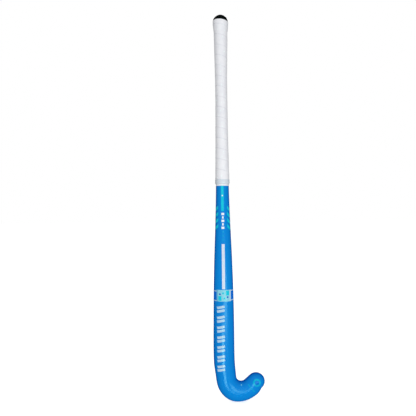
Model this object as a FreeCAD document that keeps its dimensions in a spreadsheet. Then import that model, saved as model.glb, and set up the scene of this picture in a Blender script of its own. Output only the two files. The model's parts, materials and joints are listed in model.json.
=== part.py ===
import FreeCAD, Part
import math
import os
from collections import namedtuple

import Sketcher
import PartDesign
from FreeCAD import Vector

# A composite field hockey stick, 36.5 inches long, in millimetres.
#
# The stick is drawn with the flat striking face in the plane y = 0 and the rounded back towards -Y.
# The head hooks towards +X. Heights are counted from the lowest point of the head. The blade of the
# stick is straight, then the shaft bows towards the face and runs straight up to the handle end.
# The finished assembly is leaned back, so that the line from the head to the handle end is upright,
# and moved so that the origin is the middle of the upper hand's grip.

doc = FreeCAD.newDocument("FieldHockeyStick")

SIZES = [
    # Centreline of the shaft, from the throat of the hook upwards
    ("throat_height", 62.5, "centre of the crook's arc above the lowest point"),
    ("throat_shift", 4.3, "the hook's start stands this far towards the toe"),
    ("blade_run", 57.5, "straight, flat length above the throat"),
    ("bow_radius", 2300.0, "radius of the bow"),
    ("bow_angle", 7.5, "turn of the bow, degrees"),
    ("handle_run", 494.0, "straight length from the bow to the shell's end"),
    ("handle_taper", 250.0, "the shaft widens over this length above the bow"),
    ("flare_length", 130.0, "the handle end widens over this length"),
    # Cross-section
    ("handle_width", 25.8, ""),
    ("handle_depth", 27.4, ""),
    ("handle_corner", 11.6, "face corner radius"),
    ("flare_width", 30.6, "width at the handle end"),
    ("flare_depth", 30.4, ""),
    ("flare_corner", 13.4, ""),
    ("blade_width", 49.8, ""),
    ("blade_depth", 21.5, ""),
    ("blade_corner", 5.0, ""),
    # Hook
    ("crook_radius", 11.7, "inner radius of the hook"),
    ("throat_width", 48.6, ""),
    ("heel_width", 52.7, ""),
    ("toe_root_width", 46.8, ""),
    ("toe_width", 42.6, ""),
    ("toe_depth", 20.0, ""),
    ("hook_turn", 130.0, "how far the hook turns, degrees"),
    ("toe_run", 18.9, "straight length before the round toe"),
    ("toe_lift", 3.0, "the toe's axis moves inwards by this much"),
    # Laminate and core
    ("wall", 2.2, "outer laminate"),
    ("face_dressing", 0.02, "dressed off the striking face to leave it truly flat"),
    ("liner_wall", 1.0, "heel reinforcement"),
    ("tube_wall", 0.9, "wall of each inner tube"),
    ("bond_gap", 0.05, "glue line between moulded layers"),
    ("core_top", 128.0, "height of the foam core and the reinforcement"),
    ("plug_length", 65.0, "foam plug in the handle end"),
    # Handle dressing
    ("wrap_thickness", 1.65, ""),
    ("grip_length", 377.5, "from the cap's lip down to the finishing tape"),
    ("tape_thickness", 0.25, "finishing tape, outside the wrap"),
    ("tape_width", 11.4, ""),
    ("tape_overlap", 8.0, "the wrap runs this far under the finishing tape"),
    ("ring_width", 3.4, "white ring under the finishing tape"),
    ("skirt_thickness", 1.6, "rubber sleeve of the end cap"),
    ("skirt_edge", 0.5, "the sleeve thins to this at its lower edge"),
    ("skirt_length", 30.0, ""),
    ("lip_thickness", 2.65, "the cap's head stands proud of the shell by this much"),
    ("lip_drop", 7.0, "the lip's lower edge, below the shell's end"),
    ("dome_rise", 15.0, "height of the cap's head"),
    # Transfers on the rounded back; heights are those of the middle or the ends of each print
    ("film", 0.15, "thickness of a transfer"),
    ("stripe_shift", -0.5, "the stripe and its spot stand this far towards the toe"),
    ("stripe_width", 6.8, ""),
    ("stripe_top", 517.0, ""),
    ("stripe_bottom", 459.0, ""),
    ("spot_height", 494.6, ""),
    ("spot_radius", 2.0, ""),
    ("tab_shift", -0.3, ""),
    ("tab_top", 456.0, "small tabs under the stripe"),
    ("tab_pitch", 7.95, ""),
    ("tab_width", 7.2, ""),
    ("dash_top", 415.3, ""),
    ("dash_pitch", 9.0, ""),
    ("dash_width", 4.0, ""),
    ("bar_shift", 0.4, ""),
    ("bar_width", 7.6, ""),
    ("bar_top", 382.7, ""),
    ("bar_bottom", 278.0, ""),
    ("chevron_top", 463.5, "middle of the highest chevron"),
    ("chevron_pitch", 14.05, ""),
    ("chevron_width", 5.2, ""),
    ("left_chevron_shift", -14.0, ""),
    ("left_chevron_length", 9.0, ""),
    ("left_chevron_tilt", -45.0, "degrees"),
    ("right_chevron_shift", 13.4, ""),
    ("right_chevron_length", 10.0, ""),
    ("right_chevron_tilt", 50.0, "degrees"),
    ("belt_top", 272.5, "middle of the upper line round the shaft"),
    ("belt_bottom", 250.0, "middle of the lower line"),
    ("belt_line", 2.0, ""),
    ("belt_tilt", 2.2, "degrees"),
    ("panel_width", 32.6, ""),
    ("panel_top", 276.0, ""),
    ("panel_bottom", 249.2, ""),
    ("inlay_shift", 8.9, "the panel's spots and blocks stand this far from its middle line"),
    ("inlay_spot_rise", 3.6, "spots above and below the panel's middle"),
    ("inlay_spot_radius", 2.1, ""),
    ("inlay_block_width", 7.2, ""),
    ("inlay_block_height", 11.0, ""),
    ("inlay_block_rise", 6.2, ""),
    ("inlay_chip", 4.0, "small squares between the blocks"),
    ("inlay_chip_shift", 1.6, ""),
    ("inlay_chip_rise", 6.0, ""),
    ("block_shift", -7.9, ""),
    ("block_top", 230.9, "middle of the highest pair of bars"),
    ("block_pitch", 23.7, ""),
    ("block_width", 19.4, ""),
    ("block_bar", 5.8, "thickness of each slanted bar"),
    ("block_tilt", -14.0, "degrees"),
    ("toe_line_x", 63.5, ""),
    ("toe_line_height", 38.8, ""),
    ("toe_line_length", 24.2, ""),
    ("toe_line_width", 2.4, ""),
    ("toe_line_tilt", 50.4, "degrees"),
    ("toe_ring_x", 76.8, ""),
    ("toe_ring_height", 52.0, ""),
    ("toe_ring_radius", 9.4, ""),
    ("toe_ring_hole", 5.4, ""),
    ("toe_spot_x", 40.3, ""),
    ("toe_spot_height", 45.0, ""),
    ("toe_spot_radius", 1.75, ""),
    # Assembly
    ("chord_lean", 5.3, "the assembly leans back by this angle, degrees"),
    ("origin_drop", 100.0, "origin below the shell's end, along the handle"),
]

sheet = doc.addObject("Spreadsheet::Sheet", "Sizes")
for row, (alias, value, note) in enumerate(SIZES, 1):
    sheet.set(f"A{row}", alias)
    sheet.set(f"B{row}", str(value))
    sheet.set(f"C{row}", note)
    sheet.setAlias(f"B{row}", alias)
doc.recompute()


def size(expression):
    """The present value of an expression of the sheet's cells."""
    return float(sheet.evalExpression(expression))


def blend(first, last, share):
    """An expression that goes from one cell or expression to another."""
    return f"({first} + ({share}) * ({last} - {first}))"


# ---------------------------------------------------------------------------- stations

# A station is one cross-section of the stick. Place and size are expressions of the sheet.
# lean tilts it with the bow and turn carries it round the hook.
Station = namedtuple("Station", "x y z lean turn width depth corner")

BOW_TURN = "Sizes.bow_angle * 1deg"
BOW_BASE = "(Sizes.throat_height + Sizes.blade_run)"
HOOK_X = "(Sizes.throat_shift + Sizes.throat_width / 2 + Sizes.crook_radius)"


def handle_station(distance, width, depth, corner):
    """A section on the straight handle, at a distance above the bow."""
    y = f"Sizes.bow_radius * (1 - cos({BOW_TURN})) + ({distance}) * sin({BOW_TURN})"
    z = f"{BOW_BASE} + Sizes.bow_radius * sin({BOW_TURN}) + ({distance}) * cos({BOW_TURN})"
    return Station("0", y, z, "Sizes.bow_angle", "0", width, depth, corner)


def flare_station(share, widening):
    """A section of the widened handle end; share is 0 at the end and 1 where the flare starts."""
    return handle_station(
        f"Sizes.handle_run - {share:g} * Sizes.flare_length",
        blend("Sizes.handle_width", "Sizes.flare_width", widening),
        blend("Sizes.handle_depth", "Sizes.flare_depth", widening),
        blend("Sizes.handle_corner", "Sizes.flare_corner", widening),
    )


def shaft_sizes(share):
    """Width, depth and corner between the handle (share 0) and the blade (share 1)."""
    words = ("width", "depth", "corner")
    return [blend(f"Sizes.handle_{word}", f"Sizes.blade_{word}", share) for word in words]


def flare_end_station(drop):
    """A section near the handle end, at a distance below it."""
    widening = f"1 - 0.913 * ({drop}) / Sizes.flare_length"
    return handle_station(
        f"Sizes.handle_run - ({drop})",
        blend("Sizes.handle_width", "Sizes.flare_width", widening),
        blend("Sizes.handle_depth", "Sizes.flare_depth", widening),
        blend("Sizes.handle_corner", "Sizes.flare_corner", widening),
    )


def dome_station(rise):
    """A section of the cap's head; rise goes from 0 at its lip to 1 at its crown."""
    share = (1 - rise**1.8) ** (1 / 1.8)
    width = f"{share:.4f} * (Sizes.flare_width + 2 * Sizes.lip_thickness)"
    depth = f"{share:.4f} * (Sizes.flare_depth + 2 * Sizes.lip_thickness)"
    corner = f"{share:.4f} * (Sizes.flare_corner + Sizes.lip_thickness)"
    shift = f"(Sizes.lip_thickness - {(1 - share) / 2:.4f} * (Sizes.flare_depth + 2 * Sizes.lip_thickness))"
    foot = handle_station(f"Sizes.handle_run - Sizes.lip_drop + {rise:g} * Sizes.dome_rise", "0", "0", "0")
    y = f"{foot.y} + {shift} * cos({BOW_TURN})"
    z = f"{foot.z} - {shift} * sin({BOW_TURN})"
    return Station("0", y, z, "Sizes.bow_angle", "0", width, depth, corner)


def taper_station(share, widening):
    """A section of the handle's lower taper; share is 0 at the bow and 1 at the taper's top."""
    return handle_station(f"{share:g} * Sizes.handle_taper", *shaft_sizes(widening))


def bow_station(share, widening):
    """A section on the bow; share is 0 at the blade and 1 at the handle."""
    y = f"Sizes.bow_radius * (1 - cos({share:g} * {BOW_TURN}))"
    z = f"{BOW_BASE} + Sizes.bow_radius * sin({share:g} * {BOW_TURN})"
    return Station("0", y, z, f"{share:g} * Sizes.bow_angle", "0", *shaft_sizes(widening))


def blade_station(share):
    """A section between the bow (share 1) and the throat (share 0)."""
    return Station(
        f"{(1 - share) ** 2:g} * Sizes.throat_shift",
        "0",
        f"Sizes.throat_height + {share:g} * Sizes.blade_run",
        "0",
        "0",
        "Sizes.blade_width",
        "Sizes.blade_depth",
        "Sizes.blade_corner",
    )


def hook_station(share, width, thinning):
    """A section that fans round the crook; share is the part of the hook's turn already made."""
    turn = f"{share:g} * Sizes.hook_turn"
    reach = f"(Sizes.crook_radius + {width} / 2)"
    return Station(
        f"{HOOK_X} - {reach} * cos({turn} * 1deg)",
        "0",
        f"Sizes.throat_height - {reach} * sin({turn} * 1deg)",
        "0",
        turn,
        width,
        blend("Sizes.blade_depth", "Sizes.toe_depth", thinning),
        "Sizes.blade_corner",
    )


def toe_station():
    """The last section, on the diameter of the rounded toe."""
    reach = "(Sizes.crook_radius + Sizes.toe_root_width / 2 - Sizes.toe_lift)"
    turn = "Sizes.hook_turn * 1deg"
    return Station(
        f"{HOOK_X} - {reach} * cos({turn}) + Sizes.toe_run * sin({turn})",
        "0",
        f"Sizes.throat_height - {reach} * sin({turn}) - Sizes.toe_run * cos({turn})",
        "0",
        "Sizes.hook_turn",
        "Sizes.toe_width",
        "Sizes.toe_depth",
        "Sizes.blade_corner",
    )


FLARE = [flare_station(*pair) for pair in ((0, 1), (0.23, 0.79), (0.46, 0.54), (0.77, 0.26), (1, 0))]
TAPER = [
    taper_station(*pair)
    for pair in ((1, 0), (0.8, 0.042), (0.56, 0.117), (0.32, 0.208), (0.16, 0.296), (0, 0.42))
]
BOW = [bow_station(*pair) for pair in ((0.8, 0.62), (0.6, 0.8), (0.4, 0.905), (0.2, 0.968), (0, 1))]
BLADE = [blade_station(0.5)]
THROAT = hook_station(0, "Sizes.throat_width", 0)
HOOK = [
    THROAT,
    hook_station(0.17, blend("Sizes.throat_width", "Sizes.heel_width", 0.12), 0),
    hook_station(0.34, blend("Sizes.throat_width", "Sizes.heel_width", 0.66), 0.1),
    hook_station(0.52, "Sizes.heel_width", 0.2),
    hook_station(0.70, blend("Sizes.heel_width", "Sizes.toe_root_width", 0.42), 0.4),
    hook_station(0.86, blend("Sizes.heel_width", "Sizes.toe_root_width", 0.82), 0.6),
    hook_station(1, "Sizes.toe_root_width", 0.8),
    toe_station(),
]
WHOLE_STICK = FLARE + TAPER + BOW + BLADE + HOOK


# ---------------------------------------------------------------------------- sketches


def origin_plane(body, role):
    return [feature for feature in body.Origin.OriginFeatures if feature.Role == role][0]


def placed_sketch(body, station, inset):
    """A sketch on the station's plane; its X axis is the face line, moved inwards by the inset."""
    sketch = body.newObject("Sketcher::SketchObject", "Section")
    sketch.AttachmentSupport = [(origin_plane(body, "XY_Plane"), "")]
    sketch.MapMode = "FlatFace"
    lean = f"({station.lean}) * 1deg"
    y = f"{station.y} - ({inset}) * cos({lean})"
    z = f"{station.z} + ({inset}) * sin({lean})"
    turning = f"rotationx(-({station.lean})) * rotationy(-({station.turn}))"
    sketch.setExpression("AttachmentOffset", f"placement(vector({station.x}; {y}; {z}); {turning})")
    return sketch


def bind(sketch, constraint, name, expression):
    """Adds a dimension, names it and ties it to the sheet."""
    index = sketch.addConstraint(constraint)
    sketch.renameConstraint(index, name)
    sketch.setExpression(f"Constraints.{name}", expression)


def d_section(body, station, inset):
    """The stick's closed profile: a flat face, two round corners and a half-elliptic back."""
    sketch = placed_sketch(body, station, inset)
    width = f"{station.width} - 2 * ({inset})"
    depth = f"{station.depth} - 2 * ({inset})"
    corner = f"{station.corner} - ({inset})"
    half = size(width) / 2
    radius = size(corner)
    bulge = size(depth) - radius
    upright = Vector(0, 0, 1)
    right_corner = Part.Circle(Vector(half - radius, -radius, 0), upright, radius)
    left_corner = Part.Circle(Vector(radius - half, -radius, 0), upright, radius)
    centre = Vector(0, -radius, 0)
    if half > bulge:
        back = Part.Ellipse(centre, half, bulge)
        start, level, upright = math.pi, 4, 5
    else:
        back = Part.Ellipse(centre - Vector(0, bulge, 0), centre + Vector(half, 0, 0), centre)
        start, level, upright = -math.pi / 2, 5, 4
    sketch.addGeometry(
        [
            Part.LineSegment(Vector(radius - half, 0, 0), Vector(half - radius, 0, 0)),
            Part.ArcOfCircle(right_corner, 0, math.pi / 2),
            Part.ArcOfCircle(left_corner, math.pi / 2, math.pi),
            Part.ArcOfEllipse(back, start, start + math.pi),
        ]
    )
    sketch.exposeInternalGeometry(3)
    sketch.addConstraint(
        [
            Sketcher.Constraint("Tangent", 0, 2, 1, 2),
            Sketcher.Constraint("Tangent", 0, 1, 2, 1),
            Sketcher.Constraint("Symmetric", 0, 1, 0, 2, -2),
            Sketcher.Constraint("Equal", 1, 2),
            Sketcher.Constraint("PointOnObject", 0, 1, -1),
            Sketcher.Constraint("Coincident", 1, 1, 3, 2),
            Sketcher.Constraint("Coincident", 2, 2, 3, 1),
            Sketcher.Constraint("PointOnObject", 1, 1, level),
            Sketcher.Constraint("PointOnObject", 2, 2, level),
            Sketcher.Constraint("Horizontal", level),
        ]
    )
    bind(sketch, Sketcher.Constraint("DistanceX", 2, 2, 1, 1, 2 * half), "width", width)
    bind(sketch, Sketcher.Constraint("Radius", 1, radius), "corner", corner)
    bind(sketch, Sketcher.Constraint("Distance", upright, 2 * bulge), "bulge", f"2 * ({depth} - ({corner}))")
    return sketch


def half_section(body, station, inset):
    """The part of a profile on the inner side of its middle line, for revolving about that line."""
    sketch = placed_sketch(body, station, inset)
    width = f"{station.width} - 2 * ({inset})"
    depth = f"{station.depth} - 2 * ({inset})"
    corner = f"{station.corner} - ({inset})"
    half = size(width) / 2
    radius = size(corner)
    bulge = size(depth) - radius
    top = Vector(0, 0, 0)
    side = Vector(half, -radius, 0)
    shoulder = Vector(half, -radius - bulge, 0)
    bottom = Vector(0, -radius - bulge, 0)
    circle = Part.Circle(Vector(half - radius, -radius, 0), Vector(0, 0, 1), radius)
    quarter_ellipse = Part.BSplineCurve()
    quarter_ellipse.buildFromPolesMultsKnots(
        [side, shoulder, bottom], [3, 3], [0, 1], False, 2, [1, math.sqrt(0.5), 1]
    )
    sketch.addGeometry(
        [
            Part.LineSegment(top, Vector(half - radius, 0, 0)),
            Part.ArcOfCircle(circle, 0, math.pi / 2),
            quarter_ellipse,
            Part.LineSegment(bottom, top),
        ]
    )
    sketch.exposeInternalGeometry(2)
    middle_pole = 5
    sketch.addConstraint(
        [
            Sketcher.Constraint("Coincident", 0, 1, -1, 1),
            Sketcher.Constraint("Coincident", 3, 2, -1, 1),
            Sketcher.Constraint("Horizontal", 0),
            Sketcher.Constraint("Vertical", 3),
            Sketcher.Constraint("Tangent", 0, 2, 1, 2),
            Sketcher.Constraint("Coincident", 1, 1, 2, 1),
            Sketcher.Constraint("Coincident", 2, 2, 3, 1),
            Sketcher.Constraint("Horizontal", 1, 1, 1, 3),
            Sketcher.Constraint("Vertical", 1, 1, middle_pole, 3),
            Sketcher.Constraint("Horizontal", 3, 1, middle_pole, 3),
        ]
    )
    bind(sketch, Sketcher.Constraint("DistanceX", -1, 1, 1, 1, half), "half", f"({width}) / 2")
    bind(sketch, Sketcher.Constraint("Radius", 1, radius), "corner", corner)
    bind(sketch, Sketcher.Constraint("Distance", 3, half), "depth", depth)
    return sketch


# ---------------------------------------------------------------------------- bodies


def loft_body(name, profiles, rounded=False):
    """A solid through profiles, each a station with its own inset; the toe is rounded on request."""
    body = doc.addObject("PartDesign::Body", name)
    sections = [d_section(body, station, inset) for station, inset in profiles]
    loft = body.newObject("PartDesign::AdditiveLoft", "Loft")
    loft.Profile = sections[0]
    loft.Sections = sections[1:]
    if rounded:
        half = half_section(body, *profiles[-1])
        toe = body.newObject("PartDesign::Revolution", "Toe")
        toe.Profile = half
        toe.ReferenceAxis = (half, ["V_Axis"])
        toe.Angle = 180
    return body


FIT = "Sizes.wall + Sizes.bond_gap"


def cut(name, base, tool):
    feature = doc.addObject("Part::Cut", name)
    feature.Base = base
    feature.Tool = tool
    return feature


def common(name, base, tool):
    feature = doc.addObject("Part::Common", name)
    feature.Base = base
    feature.Tool = tool
    return feature


def group(name, pieces):
    """Separate solids held together as one tool."""
    compound = doc.addObject("Part::Compound", name)
    compound.Links = pieces
    return compound


# Cutting blocks reach this far, well past the stick on every side.
REACH = 200
CUTTER = 100


def box(name, low, high):
    """An upright box between two corners, each given as three expressions."""
    block = doc.addObject("Part::Box", name)
    for side, first, last in zip(("Length", "Width", "Height"), low, high):
        block.setExpression(side, f"({last}) - ({first})")
    block.setExpression("Placement", f"placement(vector({low[0]}; {low[1]}; {low[2]}); rotationx(0))")
    return block


def handle_slab(name, low, high):
    """A block across the handle between two distances above the bow, square to the handle."""
    block = doc.addObject("Part::Box", name)
    block.Length = 2 * REACH
    block.Width = 2 * REACH
    block.setExpression("Height", f"({high}) - ({low})")
    foot = handle_station(low, "0", "0", "0")
    place = f"placement(vector(0; {foot.y}; {foot.z}); rotationx(-Sizes.bow_angle))"
    block.setExpression("Placement", f"{place} * placement(vector(-{REACH}; -{REACH}; 0); rotationx(0))")
    return block


def finish(feature, label):
    """Names a sub-part and leans it back into the assembly's frame; it can't be a cutting tool after that."""
    feature.Label = label
    feature.setExpression("Placement", ASSEMBLY)
    SUBPARTS.append(feature)


SUBPARTS = []
ORIGIN = handle_station("Sizes.handle_run - Sizes.origin_drop", "0", "0", "0")
AXIS_DEPTH = "Sizes.handle_depth / 2"
ASSEMBLY = (
    f"placement(vector(0; 0; 0); rotationx(Sizes.chord_lean))"
    f" * placement(vector(0; -({ORIGIN.y} - {AXIS_DEPTH} * cos({BOW_TURN})); -({ORIGIN.z} + {AXIS_DEPTH}"
    f" * sin({BOW_TURN}))); rotationx(0))"
)


LAYERS = {}


def layer(name, inset):
    """The whole stick's outline moved inwards (outwards below zero), as a solid made only once."""
    if name not in LAYERS:
        LAYERS[name] = loft_body(name, [(station, inset) for station in WHOLE_STICK], True)
    return LAYERS[name]


def outside():
    return layer("outside", "0")


def lined():
    """What fits inside the laminate, with a glue line."""
    return layer("lined", FIT)


# ---------------------------------------------------------------------------- stick


def make_shell():
    """The moulded laminate: one closed wall from the open handle end round to the toe."""
    wall = cut("wall", outside(), layer("cavity", "Sizes.wall"))
    low, high = (f"-{REACH}", "-Sizes.face_dressing", f"-{REACH}"), (f"{REACH}", f"{REACH}", BOW_BASE)
    dressing = box("dressing", low, high)
    finish(cut("shell", wall, dressing), "outer_shell")


def make_tubes():
    """Two inflated tubes side by side; the walls where they meet are the stick's middle web."""
    handle = handle_station("Sizes.handle_run - Sizes.plug_length - 6", "0", "0", "0")
    heights = ("Sizes.core_top + 1", handle.z)
    for label, side in (("left_core_tube", -1), ("right_core_tube", 1)):
        solids = []
        for name, source, edge in (
            ("tube", lined(), "Sizes.bond_gap"),
            ("bore", layer("bore", f"{FIT} + Sizes.tube_wall"), "Sizes.bond_gap + Sizes.tube_wall"),
        ):
            low_x, high_x = (edge, f"{REACH}") if side > 0 else (f"-{REACH}", f"-({edge})")
            half = box(f"{name}_half", (low_x, f"-{REACH}", heights[0]), (high_x, f"{REACH}", heights[1]))
            solids.append(common(f"{name}_{label}", source, half))
        finish(cut(f"cut_{label}", *solids), label)


def make_head_inside():
    """The reinforcement that lines the hook, and the foam inside it."""
    low, high = (f"-{REACH}",) * 3, (f"{REACH}", f"{REACH}", "Sizes.core_top")
    head = box("head_region", low, high)
    sleeve = cut("sleeve", lined(), layer("sleeve_bore", f"{FIT} + Sizes.liner_wall"))
    finish(common("liner", sleeve, head), "heel_reinforcement")
    core = layer("core_layer", f"{FIT} + Sizes.liner_wall + Sizes.bond_gap")
    finish(common("core", core, head), "head_core")


def make_plug():
    """The foam plug that closes the handle end."""
    region = handle_slab("plug_region", "Sizes.handle_run - Sizes.plug_length", "Sizes.handle_run")
    finish(common("plug", lined(), region), "handle_plug")


# ---------------------------------------------------------------------------- handle dressing


def make_cap():
    """A rubber cap: a domed head with a lip, and a thin sleeve over the handle end."""
    sleeve = loft_body(
        "cap_sleeve",
        [
            (flare_end_station("Sizes.lip_drop - 1"), "-Sizes.skirt_thickness"),
            (flare_end_station("0.5 * Sizes.skirt_length"), "-Sizes.skirt_thickness"),
            (flare_end_station("Sizes.skirt_length"), "-Sizes.skirt_edge"),
        ],
    )
    head = loft_body("cap_head", [(dome_station(rise), "0") for rise in (0, 0.3, 0.55, 0.75, 0.9, 0.985)])
    solid = doc.addObject("Part::Fuse", "cap_solid")
    solid.Base = head
    solid.Tool = sleeve
    finish(cut("cap", solid, outside()), "end_cap")
    return solid


GRIP_TOP = "Sizes.handle_run - Sizes.lip_drop"
TAPE_TOP = f"({GRIP_TOP} - Sizes.grip_length)"
TAPE_FOOT = f"({TAPE_TOP} - Sizes.tape_width)"


def make_wrap(cap_solid):
    """The grip: one closed sleeve over the shaft and over the cap's rubber sleeve."""
    over_sleeve = "-(Sizes.wrap_thickness + Sizes.skirt_thickness)"
    plain = "-Sizes.wrap_thickness"
    profiles = [
        (flare_end_station("Sizes.lip_drop - 1"), over_sleeve),
        (flare_end_station("0.5 * Sizes.skirt_length"), over_sleeve),
        (flare_end_station("Sizes.skirt_length"), "-(Sizes.wrap_thickness + Sizes.skirt_edge)"),
    ]
    profiles += [(station, plain) for station in FLARE[2:] + TAPER]
    solid = loft_body("wrap_solid", profiles)
    region = handle_slab("wrap_region", f"{TAPE_TOP} - Sizes.tape_overlap", GRIP_TOP)
    trimmed = common("wrap_trimmed", cut("wrap_tube", solid, outside()), region)
    finish(cut("wrap", trimmed, cap_solid), "grip_wrap")
    return trimmed


def make_tape(wrap_tube):
    """The finishing tape, wound over the wrap's lower end and the shaft below it."""
    inset = "-(Sizes.wrap_thickness + Sizes.tape_thickness)"
    solid = loft_body("tape_solid", [(station, inset) for station in FLARE[3:] + TAPER + BOW[:1]])
    region = handle_slab("tape_region", TAPE_FOOT, TAPE_TOP)
    trimmed = common("tape_trimmed", cut("tape_tube", solid, outside()), region)
    finish(cut("tape", trimmed, wrap_tube), "finishing_tape")


# ---------------------------------------------------------------------------- transfers


def skin():
    """The space of one transfer's thickness all over the laminate."""
    if "skin" not in LAYERS:
        LAYERS["skin"] = cut("skin", layer("film_outside", "-Sizes.film"), outside())
    return LAYERS["skin"]


def face_y(height):
    """How far the striking face has bowed at a height."""
    start = BOW_BASE
    rise = f"(({height}) - {start})"
    end = f"Sizes.bow_radius * sin({BOW_TURN})"
    on_bow = f"Sizes.bow_radius - sqrt(Sizes.bow_radius ^ 2 - {rise} ^ 2)"
    on_handle = f"Sizes.bow_radius * (1 - cos({BOW_TURN})) + ({rise} - {end}) * tan({BOW_TURN})"
    return f"({rise} < 0 ? 0 : ({rise} < {end} ? {on_bow} : {on_handle}))"


# A transfer on the back reaches round to this far behind the striking face.
BACK_ONLY = 9


def back_bar(name, x, height, width, tall, tilt="0"):
    """A bar on the rounded back, about a middle point, turned by tilt in the plane of the face."""
    bar = doc.addObject("Part::Box", name)
    bar.setExpression("Length", width)
    bar.setExpression("Height", tall)
    bar.Width = CUTTER
    lower_end = f"{height} - ({tall}) / 2"
    front = f"{face_y(lower_end)} - {BACK_ONLY + CUTTER}"
    middle = f"placement(vector({x}; {front}; {height}); rotationy({tilt}))"
    corner = f"placement(vector(-({width}) / 2; 0; -({tall}) / 2); rotationx(0))"
    bar.setExpression("Placement", f"{middle} * {corner}")
    return bar


def back_disc(name, x, height, radius):
    """A round on the rounded back."""
    disc = doc.addObject("Part::Cylinder", name)
    disc.setExpression("Radius", radius)
    disc.Height = CUTTER
    front = f"{face_y(height)} - {BACK_ONLY}"
    disc.setExpression("Placement", f"placement(vector({x}; {front}; {height}); rotationx(90))")
    return disc


def transfer(label, shapes):
    """A film of the given outlines, lying on the laminate."""
    tool = shapes[0] if len(shapes) == 1 else group(f"{label}_outline", shapes)
    finish(common(f"{label}_film", skin(), tool), label)


def span(top, bottom):
    """Middle height and length of a bar between two heights."""
    return f"({top} + {bottom}) / 2", f"{top} - {bottom}"


def make_ring():
    region = handle_slab("ring_region", f"{TAPE_FOOT} - Sizes.ring_width", TAPE_FOOT)
    finish(common("ring_film", skin(), region), "base_ring")


def make_stripe():
    """The stripe below the ring, with a spot set into it."""
    height, length = span("Sizes.stripe_top", "Sizes.stripe_bottom")
    stripe = back_bar("stripe_bar", "Sizes.stripe_shift", height, "Sizes.stripe_width", length)
    place = ("Sizes.stripe_shift", "Sizes.spot_height", "Sizes.spot_radius")
    transfer("centre_stripe", [cut("stripe_outline", stripe, back_disc("stripe_opening", *place))])
    transfer("stripe_spot", [back_disc("spot_disc", *place)])


def make_centre_marks():
    """Down the middle of the back: wide and narrow tabs in turn, then dashes, then the long bar."""
    tabs = []
    for n in range(5):
        height = f"Sizes.tab_top - {n + 0.5:g} * Sizes.tab_pitch"
        width = "0.55 * Sizes.tab_width" if n % 2 else "Sizes.tab_width"
        tabs.append(back_bar(f"tab_{n}", "Sizes.tab_shift", height, width, "0.66 * Sizes.tab_pitch"))
    transfer("title_tabs", tabs)
    dashes = []
    for n in range(3):
        height = f"Sizes.dash_top - {n + 0.5:g} * Sizes.dash_pitch"
        dashes.append(back_bar(f"dash_{n}", "0", height, "Sizes.dash_width", "0.6 * Sizes.dash_pitch"))
    transfer("centre_dashes", dashes)
    height, length = span("Sizes.bar_top", "Sizes.bar_bottom")
    transfer("centre_bar", [back_bar("bar", "Sizes.bar_shift", height, "Sizes.bar_width", length)])


def make_chevrons(side):
    """Four slanted bars on one side of the shaft."""
    sizes = [f"Sizes.{side}_chevron_{name}" for name in ("shift", "length", "tilt")]
    bars = []
    for n in range(4):
        height = f"Sizes.chevron_top - {n} * Sizes.chevron_pitch"
        place = (sizes[0], height, sizes[1], "Sizes.chevron_width", sizes[2])
        bars.append(back_bar(f"{side}_chevron_{n}", *place))
    transfer(f"{side}_chevrons", bars)


BELT_MIDDLE = "(Sizes.belt_top + Sizes.belt_bottom) / 2"


def belt_slice(name, height, tall):
    """A slice right across the shaft, square to it and then tilted sideways."""
    block = doc.addObject("Part::Box", name)
    block.Length = CUTTER
    block.Width = CUTTER
    block.setExpression("Height", tall)
    lean = f"asin(({BELT_MIDDLE} - {BOW_BASE}) / Sizes.bow_radius)"
    turned = f"rotationy(-Sizes.belt_tilt) * rotationx(-({lean}))"
    middle = f"placement(vector(0; 0; {height}); {turned})"
    corner = f"placement(vector(-{CUTTER / 2}; -{CUTTER / 2}; -({tall}) / 2); rotationx(0))"
    block.setExpression("Placement", f"{middle} * {corner}")
    return block


def make_belt():
    """The band round the shaft: two lines, the dark field between them, and a panel on the back."""
    height, tall = span("Sizes.panel_top", "Sizes.panel_bottom")
    panel = back_bar("panel_bar", "0", height, "Sizes.panel_width", tall)
    inlay = []
    for name, turn in (("upper", 1), ("lower", -1)):
        spot_height = f"{height} + {turn} * Sizes.inlay_spot_rise"
        block_height = f"{height} + {turn} * Sizes.inlay_block_rise"
        chip_height = f"{height} + {turn} * Sizes.inlay_chip_rise"
        block = ("Sizes.inlay_block_width", "Sizes.inlay_block_height")
        chip = ("Sizes.inlay_chip", "Sizes.inlay_chip")
        inlay.append((
            back_disc(f"{name}_spot", f"{-turn} * Sizes.inlay_shift", spot_height, "Sizes.inlay_spot_radius"),
            back_bar(f"{name}_block", f"{turn} * Sizes.inlay_shift", block_height, *block),
            back_bar(f"{name}_chip", f"{-turn} * Sizes.inlay_chip_shift", chip_height, *chip),
        ))
    spots = [row[0] for row in inlay]
    blocks = [block for row in inlay for block in row[1:]]
    transfer("belt_spots", spots)
    transfer("belt_blocks", blocks)
    transfer("belt_panel", [cut("panel_outline", panel, group("panel_inlay", spots + blocks))])
    lines = [belt_slice("line_upper", "Sizes.belt_top", "Sizes.belt_line"),
             belt_slice("line_lower", "Sizes.belt_bottom", "Sizes.belt_line")]
    transfer("belt_lines", [cut(f"{line.Name}_outline", line, panel) for line in lines])
    gap = "0.02"
    field = belt_slice("field", BELT_MIDDLE, f"Sizes.belt_top - Sizes.belt_bottom - Sizes.belt_line - {gap}")
    transfer("belt_field", [cut("field_outline", field, panel)])


def make_blade_bars():
    """Seven pairs of slanted bars down the blade."""
    bars = []
    for n in range(7):
        for side in (-1, 1):
            height = f"Sizes.block_top - {n} * Sizes.block_pitch + {side} * 0.75 * Sizes.block_bar"
            sizes = ("Sizes.block_width", "Sizes.block_bar", "Sizes.block_tilt")
            bars.append(back_bar(f"blade_bar_{n}", "Sizes.block_shift", height, *sizes))
    transfer("blade_bars", bars)


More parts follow.
